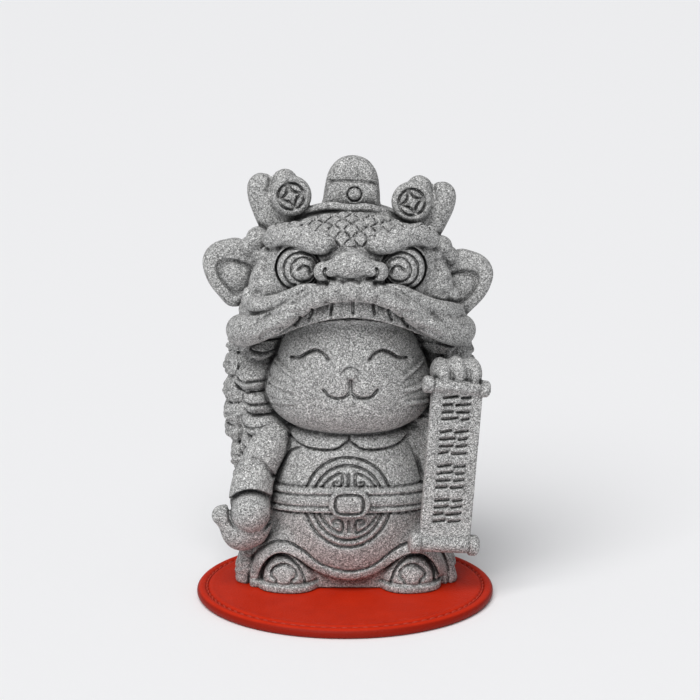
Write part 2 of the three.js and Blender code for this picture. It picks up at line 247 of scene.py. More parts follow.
def limb(stations, steps=6):
    """A round limb through stations of (x, y, z, radius)."""
    spine = curve(stations, steps)
    reach = spine[:, 3:]

    def distance(x, y, z):
        nearest = np.full(np.broadcast_shapes(x.shape, y.shape, z.shape), FAR, np.float32)
        for start, end in zip(spine, spine[1:]):
            around = max(start[3], end[3]) + FAR
            low, high = np.minimum(start, end)[:3] - around, np.maximum(start, end)[:3] + around
            part = tuple(
                slice(*np.searchsorted(axis.ravel(), (a, b))) for axis, a, b in zip((x, y, z), low, high)
            )
            dx, dy, dz = x[part[0]] - start[0], y[:, part[1]] - start[1], z[:, :, part[2]] - start[2]
            ax, ay, az, swell = end - start
            share = np.clip((dx * ax + dy * ay + dz * az) / (ax * ax + ay * ay + az * az), 0, 1)
            gap = np.sqrt((dx - share * ax) ** 2 + (dy - share * ay) ** 2 + (dz - share * az) ** 2)
            nearest[part] = np.minimum(nearest[part], gap - start[3] - share * swell)
        return nearest

    return Form((spine[:, :3] - reach).min(axis=0), (spine[:, :3] + reach).max(axis=0), distance)


def loft(stations, centre=(0, 0)):
    """A body of ellipses through stations of (z, half width, half depth), flat at both ends."""
    rows = curve(stations, 8)
    height = rows[:, 0]
    slopes = np.gradient(rows, height, axis=0)

    def distance(x, y, z):
        a, b = (np.interp(z, height, rows[:, k]) for k in (1, 2))
        slope_a, slope_b = (np.interp(z, height, slopes[:, k]) for k in (1, 2))
        u, v = (x - centre[0]) / a, (y - centre[1]) / b
        out = np.maximum(np.sqrt(u * u + v * v), 1e-3)
        u, v = u / out, v / out
        steep = np.sqrt((u / a) ** 2 + (v / b) ** 2 + (u * u * slope_a / a + v * v * slope_b / b) ** 2)
        return np.maximum((out - 1) / steep, np.maximum(height[0] - z, z - height[-1])).astype(np.float32)

    wide, deep = rows[:, 1].max(), rows[:, 2].max()
    low = (centre[0] - wide, centre[1] - deep, height[0])
    return Form(low, (centre[0] + wide, centre[1] + deep, height[-1]), distance)


def plate(outline, y_middle, thickness, soft, hat=False):
    """A slab that faces -Y, cut to a smooth outline of (x, z) points, with soft edges."""
    edge = curve(outline, 5, closed=True)
    corners = np.array([leaning((x, 0, z))[::2] for x, z in edge]) if hat else edge

    def distance(x, y, z):
        u, w = upright(x, z) if hat else (x, z)
        side = outline_distance(u, w, edge) + soft
        across = np.abs(y - y_middle) - thickness / 2 + soft
        round_off = np.sqrt(np.maximum(side, 0) ** 2 + np.maximum(across, 0) ** 2)
        return round_off + np.minimum(np.maximum(side, across), 0) - soft

    low, high = corners.min(axis=0), corners.max(axis=0)
    half = thickness / 2
    return Form((low[0], y_middle - half, low[1]), (high[0], y_middle + half, high[1]), distance)


def turned(profile, place, turn=(0, 0, 0)):
    """A turned piece about its own Z: a half profile of (radius, height) from the axis to the axis."""
    profile = np.array(profile, float)
    outline = np.concatenate([profile, (profile * (-1, 1))[::-1]])
    reach = np.hypot(*np.abs(profile).max(axis=0))

    def distance(x, y, z):
        u, v, w = local(x, y, z, place, turn)
        return outline_distance(np.hypot(u, v), w, outline)

    return Form(np.array(place) - reach, np.array(place) + reach, distance)


def slab(place, size, soft, turn=(0, 0, 0)):
    """A box with soft edges."""
    half = np.array(size) / 2
    reach = np.linalg.norm(half) if any(turn) else half

    def distance(x, y, z):
        gaps = [np.abs(c) - h + soft for c, h in zip(local(x, y, z, place, turn), half)]
        outer = np.sqrt(sum(np.maximum(gap, 0) ** 2 for gap in gaps))
        return outer + np.minimum(np.maximum(np.maximum(gaps[0], gaps[1]), gaps[2]), 0) - soft

    return Form(np.array(place) - reach, np.array(place) + reach, distance)


def merged(forms, blend):
    """Several forms as one, with soft fillets between them."""
    low = np.min([form.low for form in forms], axis=0)
    high = np.max([form.high for form in forms], axis=0)

    def distance(x, y, z):
        whole = forms[0].distance(x, y, z)
        for form in forms[1:]:
            whole = smooth_min(whole, form.distance(x, y, z), blend)
        return whole

    return Form(low, high, distance)


class Block:
    """The stone, held as distances from its surface on a grid."""

    def __init__(self):
        self.low = np.array(BLOCK_LOW, float)
        count = np.ceil((np.array(BLOCK_HIGH) - self.low) / PITCH).astype(int) + 1
        self.distance = np.full(count, FAR, np.float32)

    def window(self, low, high):
        """The part of the grid between two corners, and the x, y and z of its points."""
        start = np.maximum(np.floor((np.array(low) - self.low) / PITCH), 0).astype(int)
        stop = np.ceil((np.array(high) - self.low) / PITCH).astype(int) + 1
        stop = np.minimum(stop, self.distance.shape)
        x, y, z = (
            (self.low[k] + PITCH * np.arange(start[k], stop[k])).astype(np.float32) for k in range(3)
        )
        part = tuple(slice(*ends) for ends in zip(start, stop))
        return part, x[:, None, None], y[None, :, None], z[None, None]

    def join(self, form, blend=0.0):
        part, x, y, z = self.window(form.low - FAR, form.high + FAR)
        gap = np.minimum(form.distance(x, y, z), FAR)
        self.distance[part] = smooth_min(self.distance[part], gap, blend)

    def cut(self, form, blend=0.0):
        part, x, y, z = self.window(form.low - FAR, form.high + FAR)
        gap = np.minimum(form.distance(x, y, z), FAR)
        self.distance[part] = -smooth_min(-self.distance[part], gap, blend)

    def carve(self, low, high, depth_at):
        """Sets the surface back by depth_at(x, y, z), or raises it where that is negative."""
        part, x, y, z = self.window(low, high)
        stone = self.distance[part]
        i, j, k = np.nonzero(np.abs(stone) < SKIN)
        stone[i, j, k] += depth_at(x[i, 0, 0], y[0, j, 0], z[0, 0, k])

    def engrave(self, lines, width, depth, back, hat=False):
        """Cuts soft grooves along smooth lines of (x, z) points, into the stone in front of y = back."""
        paths = [curve(line, 5) for line in lines]
        places = np.concatenate(paths)
        margin = width + (4 if hat else 0)
        low, high = places.min(axis=0) - margin, places.max(axis=0) + margin

        def depth_at(x, y, z):
            u, w = upright(x, z) if hat else (x, z)
            gaps = [line_gap(u, w, path) for path in paths]
            return depth * bump(np.min(gaps, axis=0), width)

        self.carve((low[0], BLOCK_LOW[1], low[1]), (high[0], back, high[1]), depth_at)


def both(make):
    """What a function gives for the left (-1) and the right (+1) of the picture."""
    return [made for side in (-1, 1) for made in make(side)]


def mirrored(lines, middle):
    """Lines of (x, z) points given as distances from the middle, on both sides of it."""
    return both(lambda side: [[(middle + side * x, z) for x, z in line] for line in lines])


def from_half(half, middle):
    """A closed outline, the same on both sides of its middle, from the right half of its points."""
    left = [(middle - x, z) for x, z in half]
    return left + [(middle + x, z) for x, z in half[-2:0:-1]]


def round_line(x, z, wide, high, step=15):
    """Points round an ellipse that comes back to its start, so many degrees apart."""
    turns = np.radians(np.arange(0, 361, step))
    return [(x + wide * math.cos(t), z + high * math.sin(t)) for t in turns]


# The costume: a cape of fur locks that goes up into the lion's head

def lock_relief():
    """A table of how far the fur lies back, by the turn round the cape and the height."""
    turns = np.linspace(-math.pi, math.pi, 1441)[:, None]
    heights = np.arange(0, RELIEF_TOP, RELIEF_STEP)[None, :]
    relief = np.full((turns.size, heights.size), -TIER_DEPTH)
    chance = np.random.default_rng(7).uniform(-1, 1, (20, LOCK_COUNT, 3))
    for tier in range(-3, 14):
        across = (turns + math.pi) / (2 * math.pi) * LOCK_COUNT + 0.2 * math.sin(2.4 * tier)
        lock = np.floor(across).astype(int) % LOCK_COUNT
        sway = chance[tier + 3, lock]
        q = 2 * (across - np.floor(across)) - 1
        rise = heights - TIER_FIRST - tier * TIER_PITCH - LOCK_SAG * (q * q - 0.4) - 1.1 * sway[..., 0]
        rise = rise - 0.4 * TIER_PITCH * (lock % 2)
        share = rise / TIER_PITCH
        tip = np.sqrt(np.clip(1 - (1 - np.clip(share, 0, 1) / LOCK_FULLEST) ** 2, 0, 1))
        root = 1 - 0.6 * np.clip((share - LOCK_FULLEST) / 0.6, 0, 1.2) ** 2
        swell = np.where(share < LOCK_FULLEST, tip, root)
        layer = -TIER_DEPTH + (TIER_DEPTH + 0.8) * swell * np.sqrt(1 - 0.88 * np.abs(q) ** 2.2)
        for height, deep in ((0.34, 0.8), (0.64, 1.1)):
            line = share - height - 0.06 * sway[..., 1] + 0.14 * (1 - q * q)
            layer = layer - deep * bump(line * TIER_PITCH, 1.9) * (1 - np.abs(q) ** 3)
        relief = np.where(rise > 0, layer, relief)
    return relief


def costume(block):
    """The cape and the round of the hat, hollowed in front for the cat, with fur on their surface."""
    cape = loft([(z, wide, wide * CAPE_DEPTH_RATIO) for z, wide in CAPE_PROFILE], CAPE_CENTRE)
    block.join(cape)
    block.join(egg((-32.4, -4.6, 4.6), (5.2, 9, 8.6)), 2)
    block.join(egg((31, 0, 4.6), (5.2, 9, 8.6)), 2)
    block.join(egg((HAT_X, 5, 97), (34.4, 32, 31)), 4)
    block.cut(egg((FACE_X, -16, 70), (31.4, 26, 26.6)), 9)
    block.cut(egg((FACE_X, -19, 36), (30.5, 19, 27)), 3)
    block.cut(egg((FACE_X, -22, 52), (30.5, 22, 14)), 3)
    relief = lock_relief()

    def depth_at(x, y, z):
        turn = np.arctan2(x - CAPE_CENTRE[0], -(y - CAPE_CENTRE[1]))
        row = np.clip((turn + math.pi) / (2 * math.pi) * (relief.shape[0] - 1), 0, relief.shape[0] - 1)
        column = np.clip(z / RELIEF_STEP, 0, relief.shape[1] - 1)
        lie = relief[np.round(row).astype(int), np.round(column).astype(int)]
        front = ramp(np.abs(turn), 1.45, 1.9)
        keep = np.where(z > 88, np.maximum(front, 1 - ramp(z, 88, 93)), 1)
        keep = keep * (1 - ramp(z, 118, 124))
        return -lie * keep

    block.carve(BLOCK_LOW, BLOCK_HIGH, depth_at)


# The cat: robe, belt, shoes, arms and head

def body_form():
    return loft([(z, wide, wide * TORSO_DEPTH_RATIO) for z, wide in TORSO_PROFILE], (0, TORSO_CENTRE_Y))


def robe(block):
    """The robe over the knees, cut to its waved hem, with folds at its sides and a trim."""
    knees = both(lambda side: [egg((side * 20.8, -6.5, 8), (12, 14.2, 13), (0, 0, side * 10))])
    cloth = merged([body_form(), *knees], 4)
    line = curve(HEM, 4)
    below = np.concatenate([[(-40, -9), (-40, 0)], line, [(40, 0), (40, -9)]])

    def distance(x, y, z):
        under = outline_distance(x, z, below) + HEM_WIDTH / 2
        wall = y + 16.4 - 1.8 * ramp(np.abs(x), 11, 15)
        return -smooth_min(-cloth.distance(x, y, z), np.maximum(under, wall), 0.6)

    block.join(Form(cloth.low, cloth.high, distance), 0.3)
    for fold in (
        [(-32.4, -5.6, 14, 2.2), (-33.8, -7, 8, 3.6), (-34, -7.6, 1.6, 4.2)],
        [(-30.4, -9.6, 8, 1.4), (-31.2, -11.4, 4.2, 2.4), (-30.6, -12.4, 1, 3)],
        [(30.6, -6.6, 13, 1.6), (32.4, -7.6, 7, 3), (33.4, -8, 1.6, 3.6)],
    ):
        block.join(limb(fold), 1.4)

    def trim(x, y, z):
        off = line_gap(x, z, line)
        side = np.where(outline_distance(x, z, below) < 0, -off, off)
        half = HEM_WIDTH / 2
        band = ramp(side, -half - 0.3, -half + 0.3) * (1 - ramp(side, half - 0.5, half))
        return 0.9 * bump(side - half - 0.1, 1.3) - 0.45 * band

    block.carve((-35, BLOCK_LOW[1], 0), (35, -3, 24), trim)


def shoes(block):
    for side, middle in ((-1, -19.4), (1, 20.2)):
        place = (middle, -9.6)
        turn = (0, 0, side * 12)
        block.join(egg((*place, 1), (10.9, 12.8, 13.8), turn), 0.2)

        def sole(x, y, z):
            u, v, w = local(x, y, z, (*place, 1.1), turn)
            rim = ((np.abs(u / 10.8) ** 2.5 + np.abs(v / 13.2) ** 2.5) ** 0.4 - 1) * 11
            return smooth_max(rim, np.abs(w) - 1.5, 0.9)

        block.join(Form((place[0] - 14, place[1] - 14, 0), (place[0] + 14, place[1] + 14, 3), sole), 0.1)


def shoe_clouds(block):
    """A toe cap with a cloud shape in it, and a groove above the sole."""
    cap = [
        (-7, 2.8), (-6.4, 5.2), (-5, 8.2), (-2.5, 10.7), (0.8, 11.8), (4.2, 10.7), (6.6, 7.6), (7.3, 5),
        (7.4, 2.8),
    ]
    cloud = [
        (-2.4, 2.9), (-2.7, 4.4), (-4, 5.4), (-3.7, 7.3), (-1.6, 8.9), (1.2, 9), (3.7, 7.3), (4.2, 5.5),
        (2.9, 4.5), (2.4, 2.9),
    ]
    for side in (-1, 1):
        lines = [[(side * (21.4 + x), z) for x, z in line] for line in (cap, cloud)]
        block.engrave(lines, 1.4, 1.3, -11)

    def sole_groove(x, y, z):
        return 0.7 * bump(z - 2.9, 1.1) * (np.abs(x) > 10)

    block.carve((-33, BLOCK_LOW[1], 1), (34, -12, 5), sole_groove)


def belt_middle(x):
    return BELT_MIDDLE_Z - BELT_END_DROP * (x / 28) ** 2


def belt(block):
    """A raised band with grooves along its edges, and a buckle of a frame, a recess and a panel."""
    half = BELT_HEIGHT / 2

    def depth_at(x, y, z):
        off = np.abs(z - belt_middle(x))
        band = 1 - ramp(off, half - 0.25, half + 0.3)
        lines = 0.9 * bump(off - half - 0.5, 1.3) + 1.1 * bump(off - 1.9, 1.3)
        return lines - 1.3 * band

    block.carve((-31, BLOCK_LOW[1], 22), (31, 8, 42), depth_at)
    place_x, place_z = 0.5, 32.5
    for width, height, corner, thickness, front in (
        (13, 8.8, 2.8, 3, -28.6), (9.7, 6.9, 1.8, -0.9, -28.6), (8.4, 5.6, 1.4, 3, -28.9),
    ):
        x, z = width / 2, height / 2
        octagon = [
            (-x, corner - z), (-x, z - corner), (corner - x, z), (x - corner, z),
            (x, z - corner), (x, corner - z), (x - corner, -z), (corner - x, -z),
        ]
        outline = [(place_x + a, place_z + b) for a, b in octagon]
        if thickness > 0:
            block.join(plate(outline, front + thickness / 2, thickness, 0.8), 0.1)
        else:
            block.cut(plate(outline, front, -2 * thickness, 0.4), 0.1)


def collar(block):
    """Two flat lobes under the chin, raised from the robe, and the edges of the sleeves."""
    robe_top = body_form()
    lobe = np.array([
        (0.2, 52), (2, 50.9), (3.5, 49.9), (5.4, 49.3), (9, 49), (13, 49.1), (16.6, 49.8), (19.8, 51.4),
        (22.4, 54), (22.4, 58), (0.1, 58),
    ])

    def distance(x, y, z):
        sides = [outline_distance(side * (x - 0.4), z, lobe) for side in (-1, 1)]
        return smooth_max(robe_top.distance(x, y, z) - 1.3, np.minimum(*sides), 0.5)

    block.join(Form((-24, -22, 46), (24, 6, 58), distance), 0.1)
    groove = lobe[1:9] - (0, 0.5)
    block.engrave(mirrored([groove], 0.4), 1.3, 0.8, -4)
    block.engrave([[(-15.9, 48), (-18.8, 46.4), (-20.8, 43.7), (-22.5, 41.1), (-24.4, 38.8)]], 1.3, 1.1, -4)
    block.engrave([[(22.3, 49.6), (23.1, 46.6), (24.4, 43), (25.6, 38)]], 4.4, 2.8, -2)


def arm_with_ingot(block):
    """A bent sleeve, and a boat-shaped ingot with a ball in its middle below the cuff."""
    block.join(limb([(-24.6, -6, 50.2, 5.2), (-26.4, -8, 47.4, 6.3), (-28.6, -9.4, 43.6, 6.5)]), 0.5)
    block.join(limb([
        (-30.4, -10.4, 39.8, 6.5), (-31.9, -12.6, 35.6, 6.9), (-32.4, -14.4, 32.2, 7.2),
        (-32.8, -15, 29, 7.2),
    ]), 1)
    elbow = [[(-31.6, 44.6), (-29.2, 43.8), (-26.8, 41.4), (-25.2, 38)]]
    block.engrave(elbow, 2.2, 1.1, -10)
    block.cut(egg((-32.4, -23, 27.4), (8, 7.6, 8.2)), 1.2)
    hull = merged([
        egg((-35.4, -16.2, 20), (6.8, 6.4, 6.6)),
        limb([(-37.4, -16.6, 21.4, 4.8), (-40.2, -17.4, 25, 4.2), (-42, -18, 26, 3.4)]),
        limb([(-31.4, -16.6, 20.4, 5), (-28.8, -16.2, 23, 3.6)]),
    ], 1.6)
    block.join(hull, 0.2)
    block.join(egg((-32.3, -20.2, 27.6), (6.8, 6.2, 6.5)), 0.1)
    turns = np.radians(np.arange(-50, 221, 15))
    rim = [(-32.2 + 7.3 * math.cos(t), 27.5 + 7.2 * math.sin(t)) for t in turns]
    block.engrave([rim], 2.2, 1.6, -13)


def arm_with_paw(block):
    """The raised arm behind the scroll, and the paw that holds its upper rod."""
    sleeve = limb([
        (21, 0, 48, 6.2), (31, -1.6, 45, 7.6), (36, -6.4, 54, 7.4), (36, -10.4, 64, 6.6), (35.6, -14, 72, 6),
    ])
    drape = limb([(31, -1, 46, 7.8), (31.4, -1.6, 34, 8), (31.4, -1.6, 24, 7.2), (31, -1, 14, 6)])
    block.join(merged([sleeve, drape], 3), 1)
    block.join(slab((35.3, -16.6, 74.9), (16, 11, 8), 3.6, (-8, 2.3, SCROLL_YAW)), 0.3)
    for x, y, z, wide in ((30.5, -18.6, 75.2, 3.1), (35.7, -17.6, 75.5, 3.3), (41, -16.4, 74.6, 2.9)):
        block.join(egg((x, y, z), (wide, 6.6, 4.7), (0, 0, SCROLL_YAW)), 0.2)


def scroll(block):
    """A banner between two rods with knobs at their ends."""
    block.join(slab(SCROLL_PLACE, (17.2, 2.8, 54.6), 0.5, (0, SCROLL_LEAN, SCROLL_YAW)), 0.2)
    writing(block)
    for place, lean, radius, width in (
        ((35.5, -22.6, 71.1), 7.4, 2.1, 19.4),
        ((31.8, -22.6, 17.4), 6, 2.8, 20.2),
    ):
        half, knob, cap = width / 2, radius + 0.7, 1.6
        side = [
            (0, -half - cap), (knob - 0.7, -half - cap), (knob, -half - cap + 0.7), (knob, cap - half - 0.4),
            (knob - 0.3, cap - half), (radius - 0.5, cap - half), (radius - 0.2, cap - half + 0.5),
            (radius, cap - half + 1),
        ]
        profile = side + [(r, -h) for r, h in reversed(side)]
        block.join(turned(profile, place, (0, 90 + lean, SCROLL_YAW)), 0.1)


def writing(block):
    """Four squares of short strokes in rows, one below the other; they aren't letters."""
    chance = np.random.default_rng(5)
    strokes = []
    for middle in (19.2, 7.6, -4, -15.6):
        for row in (3.6, 1.2, -1.2, -3.6):
            split = chance.uniform(-1.6, 1.6)
            for start, stop in ((-4.4, split - 0.7), (split + 0.7, 4.6)):
                strokes.append([(start, middle + row), (stop, middle + row + chance.uniform(0.2, 0.7))])

    def depth_at(x, y, z):
        u, _, w = local(x, y, z, SCROLL_PLACE, (0, SCROLL_LEAN, SCROLL_YAW))
        gaps = [line_gap(u, w, stroke) for stroke in strokes]
        return 1.5 * bump(np.min(gaps, axis=0), 1.6)

    block.carve((22, -30, 20), (46, -19, 70), depth_at)


def head(block):
    block.join(loft(HEAD_PROFILE, (FACE_X, 0)), 0.3)


# The lion's face on the hat

def lion_face(block):
    """Cheeks, eyes under their brows, nose, upper lip with the trim above it, and teeth."""
    eye_x, eye_y, eye_z = EYE_PLACE
    block.join(egg((HAT_X, -7.5, 105), (27, 21.5, 18)), 4)
    block.join(egg((HAT_X, -12, 112.5), (14, 15, 12)), 3)
    for side in (-1, 1):
        def at(x):
            return HAT_X + side * x

        block.join(egg((at(25.6), -7, 101.6), (8, 10, 9.6), (0, 0, side * 20)), 3)
        block.join(egg((at(20), -9, 112), (8, 10, 9), (0, 0, side * 20)), 3)
        for x, y, z, radius in (
            (27.6, -12.2, 113.4, 2.4), (29, -12.8, 109.9, 1.9), (30, -12.8, 106.6, 2.5),
            (31.6, -12.2, 103.2, 2), (33.2, -10.6, 99.6, 2.6),
        ):
            block.join(egg((at(x), y, z), (radius, radius + 0.4, radius)), 0.6)
        block.cut(egg((at(eye_x + 0.4), eye_y - 5.2, eye_z - 0.4), (9.6, 8, 9), (0, 0, side * 26)), 0.8)
        block.join(egg((at(eye_x), eye_y + 2.4, eye_z - 0.2), (8.1, 7.4, 8.1), (-8, 0, side * 26)), 0.2)
        eye_lines(block, side)
        block.join(limb([
            (at(9.2), -25.6, 118.8, 3.3), (at(12.2), -24.8, 119.4, 3.7), (at(15.4), -23.4, 120.5, 3.8),
            (at(19), -21.2, 121, 3.7), (at(22.8), -18.6, 120.4, 3.4), (at(26), -15.6, 118.9, 3),
        ]), 0.8)
        wing = merged([
            egg((at(8.9), -29.2, 110.6), (3.2, 4, 3.2)), egg((at(6), -29.6, 111.8), (2.8, 3.8, 2.8)),
        ], 1)
        block.join(wing, 0.4)
    block.join(egg((HAT_X, -27, 107.4), (11, 5, 4)), 0.6)
    block.join(egg((HAT_X - 0.1, -29.8, 113), (6.5, 5.4, 4.7)), 0.3)
    block.join(limb([(HAT_X - 0.4, -28.8, 115.2, 3), (HAT_X - 0.4, -26.6, 117.6, 1.6)]), 1.4)
    nostril = [[(5.2, 108.4), (6.8, 108.6), (8, 109.6), (8.7, 110.9), (8.2, 112)]]
    block.engrave(mirrored(nostril, HAT_X), 1.7, 1.5, -22)
    lip = [
        (0, -31, 104.9, 3.7), (6, -30.7, 104.2, 3.6), (12, -29.4, 102, 3.4), (16.8, -27.4, 98.8, 3.4),
        (23.2, -23, 93.8, 3.8), (28.8, -18, 90.3, 4.5), (33.6, -11.6, 87.8, 5.2), (36.2, -5.4, 86.4, 5.4),
        (36.4, 1, 86, 4.4),
    ]
    trims = {
        -1: [
            (11.2, -28.8, 106.1, 0.6), (15.6, -27.8, 105, 1.3), (19.6, -25.8, 102.4, 1.9),
            (23.7, -23, 99.9, 2.3), (27.8, -19.6, 98.1, 2.6), (31.6, -14.8, 97.1, 2.8), (34, -9, 96.8, 2.4),
        ],
        1: [
            (11.2, -28.8, 106.1, 0.6), (15.8, -27.8, 104.8, 1.3), (19.8, -25.8, 102.1, 1.9),
            (23.9, -23, 99.3, 2.3), (28, -19.4, 96.9, 2.6), (32.3, -14.6, 94.9, 2.9), (35.2, -8.8, 93.8, 2.4),
        ],
    }
    for side, trim in trims.items():
        block.join(limb([(HAT_X + side * x, y + 5, z - 3.6, radius + 1) for x, y, z, radius in trim[2:]]), 1)
        for stations in (trim, lip):
            block.join(limb([(HAT_X + side * x, *rest) for x, *rest in stations]), 0.2)
    teeth(block)


def eye_lines(block, side):
    """Rings round the lion's pupil, and an arc on the pupil."""
    rings = [
        round_line(HAT_X + side * x, z, size, size)
        for x, z, size in ((15.4, 110.6, 3.9), (16.2, 110.5, 5.5), (17, 110.4, 7.2))
    ]
    block.engrave(rings, 1.3, 1.3, -16)
    pupil = [[(HAT_X + side * x, z) for x, z in ((13, 109.6), (13.7, 111.4), (15.3, 112), (17.2, 110.8))]]
    block.engrave(pupil, 1.4, 1.5, -16)


def teeth(block):
    """A row of teeth that follows the lip, above the cat's forehead."""
    def distance(x, y, z):
        off = np.abs(x - HAT_X)
        front = -28.8 + off**2 / 70 + off**4 / 40000
        low = 94.9 - off**2 / 62
        wall = np.maximum(front - y, y - front - 5)
        return smooth_max(wall, np.maximum(low - z, z - 104), 1)

    block.join(Form((-22, -30, 86), (24, -14, 104), distance), 0.2)
    gaps = [
        (-17.4, -15.6, 91.4), (-12.6, -11.6, 94.2), (-5.6, -5.1, 96), (1.6, 1.6, 96.6), (8.7, 8.1, 96),
        (14.3, 13.2, 93.8), (19.6, 17.8, 90.8),
    ]
    block.engrave([[(x0, z), (x1, z + 3), (x1, z + 4.2)] for x0, x1, z in gaps], 1.4, 1.6, -12)
    edge = [(HAT_X + off, 94.4 - off**2 / 62) for off in range(-20, 21, 4)]
    block.engrave([edge], 1.8, 1.2, -12)


def lion_lines(block):
    """The folds of the lion's lip, the dimples of its cheeks and the scales of its forehead."""
    for side in (-1, 1):
        folds = [
            [(2.4, 107.6), (3.4, 105.4), (3, 102.8)], [(7.6, 106.6), (8.8, 104.2), (8, 101.4)],
            [(10.6, 104.4), (14.2, 103), (18.4, 100)], [(17, 97.4), (21.4, 96.6), (25.4, 94)],
            [(26, 95.2), (29.6, 92.6), (32, 89.4)], [(22.4, 91.6), (26.4, 89.8), (29.6, 87)],
        ]
        block.engrave([[(HAT_X + side * x, z) for x, z in fold] for fold in folds], 2.6, 0.9, -6)
        dimple = (HAT_X + side * 30.2, 100.8)
        block.carve(
            (dimple[0] - 3, BLOCK_LOW[1], dimple[1] - 3), (dimple[0] + 3, 0, dimple[1] + 3),
            lambda x, y, z: 1.1 * bump(np.hypot(x - dimple[0], z - dimple[1]), 3.6),
        )
    scales(block)


def scales(block):
    """Overlapping scales with their tips up, between and over the brows."""
    rows = 11
    slope = math.radians(33)

    def depth_at(x, y, z):
        u, w = upright(x, z)
        along = (w - 118.4) * math.sin(slope) + (y + 25.5) * math.cos(slope)
        height = np.zeros_like(u)
        for row in reversed(range(rows)):
            rise = (along - (row - 4.4) * SCALE_RISE) / (2 * SCALE_RISE)
            q = (u - HAT_X + 0.6) / SCALE_WIDTH + 0.5 * ((row + 1) % 2)
            q = 2 * (q - np.round(q))
            gap = (1 - 0.5 * np.abs(q) ** 1.6 - rise) * 2 * SCALE_RISE
            pillow = 1 - (1 - np.clip(gap / 1.9, 0, 1)) ** 2
            height = np.where(gap > 0, 1.5 * pillow + 0.9 * rise, height * (1 - bump(gap, 1.4)))
        inner = 1 - ramp(np.abs(u - HAT_X) - 2.2 * np.maximum(along, 0) - 5.4, 0, 2)
        nose = ramp(np.hypot((x - HAT_X) / 6.6, (z - 113) / 5.4), 1, 1.15)
        keep = inner * nose * ramp(along, -9, -7) * (1 - ramp(along, 19, 20.5))
        return (1.1 - height) * keep

    block.carve((-26, -32, 111), (28, -4, 131), depth_at)


def hat_top(block):
    """Ears, horns with coins, crest, headband and stud, which all lean with the hat."""
    ear = [
        (-36, 113.8), (-41, 113.6), (-45.2, 112), (-47.9, 109), (-48.5, 105.2), (-46.7, 99.8), (-43, 95),
        (-38, 91.2), (-30, 95), (-29, 108),
    ]
    ear_hollow = [
        (-43.4, 106.4), (-40.4, 107.8), (-35.6, 107.2), (-31, 104.6), (-32.6, 98.6), (-36.6, 95.6),
        (-40.8, 98.6), (-43.6, 103),
    ]
    horn = [
        (-34.7, 130.4), (-34, 134.2), (-31.4, 136.3), (-28.4, 136.2), (-26.8, 135.4), (-25.4, 137),
        (-22.6, 138.2), (-19.6, 137.2), (-17, 133), (-16.4, 127), (-20, 119.6), (-28.4, 117), (-33, 124.4),
    ]
    crest = [
        (0, 122), (9.8, 124), (9.5, 129), (9.1, 133), (8.4, 137), (6.9, 140.2), (4.1, 142.8), (0, 143.8),
    ]
    shield = [(0, 122), (8.8, 124), (8.5, 130), (8, 134.4), (6.6, 135.6), (0, 136)]
    coin_x, coin_z = 19.9, 130.2
    for side in (-1, 1):
        def flip(outline):
            return [(-side * x, z) for x, z in outline]

        ear_plate = plate(flip(ear), 2, 7.8, 2.8, hat=True)
        hollow = plate(flip(ear_hollow), -3, 6.6, 1, hat=True)

        def ear_shape(x, y, z, outer=ear_plate, inner=hollow):
            return smooth_max(outer.distance(x, y, z), -inner.distance(x, y, z), 1)

        block.join(Form(ear_plate.low, ear_plate.high, ear_shape), 1)
        block.join(egg(leaning((side * 37.2, 1.4, 101.8)), (5.8, 3, 5.6)), 0.5)
        block.join(plate(flip(horn), 2.6, 8.8, 4.1, hat=True), 1.5)
        place = leaning((side * coin_x, -3, coin_z))
        disc = [(0, -3), (6.5, -3), (6.7, -0.6), (6.6, 0.6), (6.2, 1.6), (5.4, 2.2), (4.6, 2.3), (0, 2.3)]
        block.join(turned(disc, place, (82, HAT_TILT, 0)), 0.3)
        for x, y, z, radius in ((30.4, -1.5, 115.2, 3.9), (33.4, -0.5, 112.4, 3)):
            block.join(egg(leaning((side * x, y, z)), (radius, radius + 1.5, radius)), 0.6)
        block.engrave([flip([(-26.8, 137.4), (-27, 134.4), (-27.6, 131)])], 2.8, 1.6, 3, True)
        block.join(egg(leaning((side * 29, 0, 110.6)), (4, 6, 4)), 1)
        coin_lines(block, side * coin_x, coin_z)
    block.join(plate(from_half(crest, 0.1), 3, 8.6, 4, hat=True), 0.6)
    block.join(plate(from_half(shield, 0.1), 2, 8.8, 1.3, hat=True), 0.2)
    band = [
        (-15.5, -1.5, 125, 1), (-11, -3.6, 126.8, 1.3), (-6, -4.8, 127.8, 1.4), (-1, -5.2, 127.3, 1.4),
        (4.4, -4.8, 127.8, 1.4), (9.4, -3.6, 126.8, 1.3), (14, -1.5, 125, 1),
    ]
    block.join(limb([leaning(station) for station in band]), 0.5)
    stud_x, stud_z = 0.9, 131.6
    block.join(egg(leaning((stud_x, -2.2, stud_z)), (3.4, 1.2, 3.4)), 0.3)
    block.engrave([round_line(stud_x, stud_z, 2.3, 2.3)], 1.3, 1.1, 0, True)
    block.engrave([[(-8.2, 134.6), (-4, 135.5), (4, 135.5), (8.2, 134.6)]], 2, 0.6, 0, True)


def coin_lines(block, x, z):
    """A round groove with a hollow-sided square in it, as on an old cash coin."""
    lines = [round_line(x, z, 4.3, 4.3)]
    for quarter in np.radians((20, 110, 200, 290)):
        corner = [quarter, quarter + math.pi / 4, quarter + math.pi / 2]
        lines.append([(x + r * math.cos(t), z + r * math.sin(t)) for t, r in zip(corner, (4, 1.9, 4))])
    block.engrave(lines, 1.4, 1.8, 2, True)


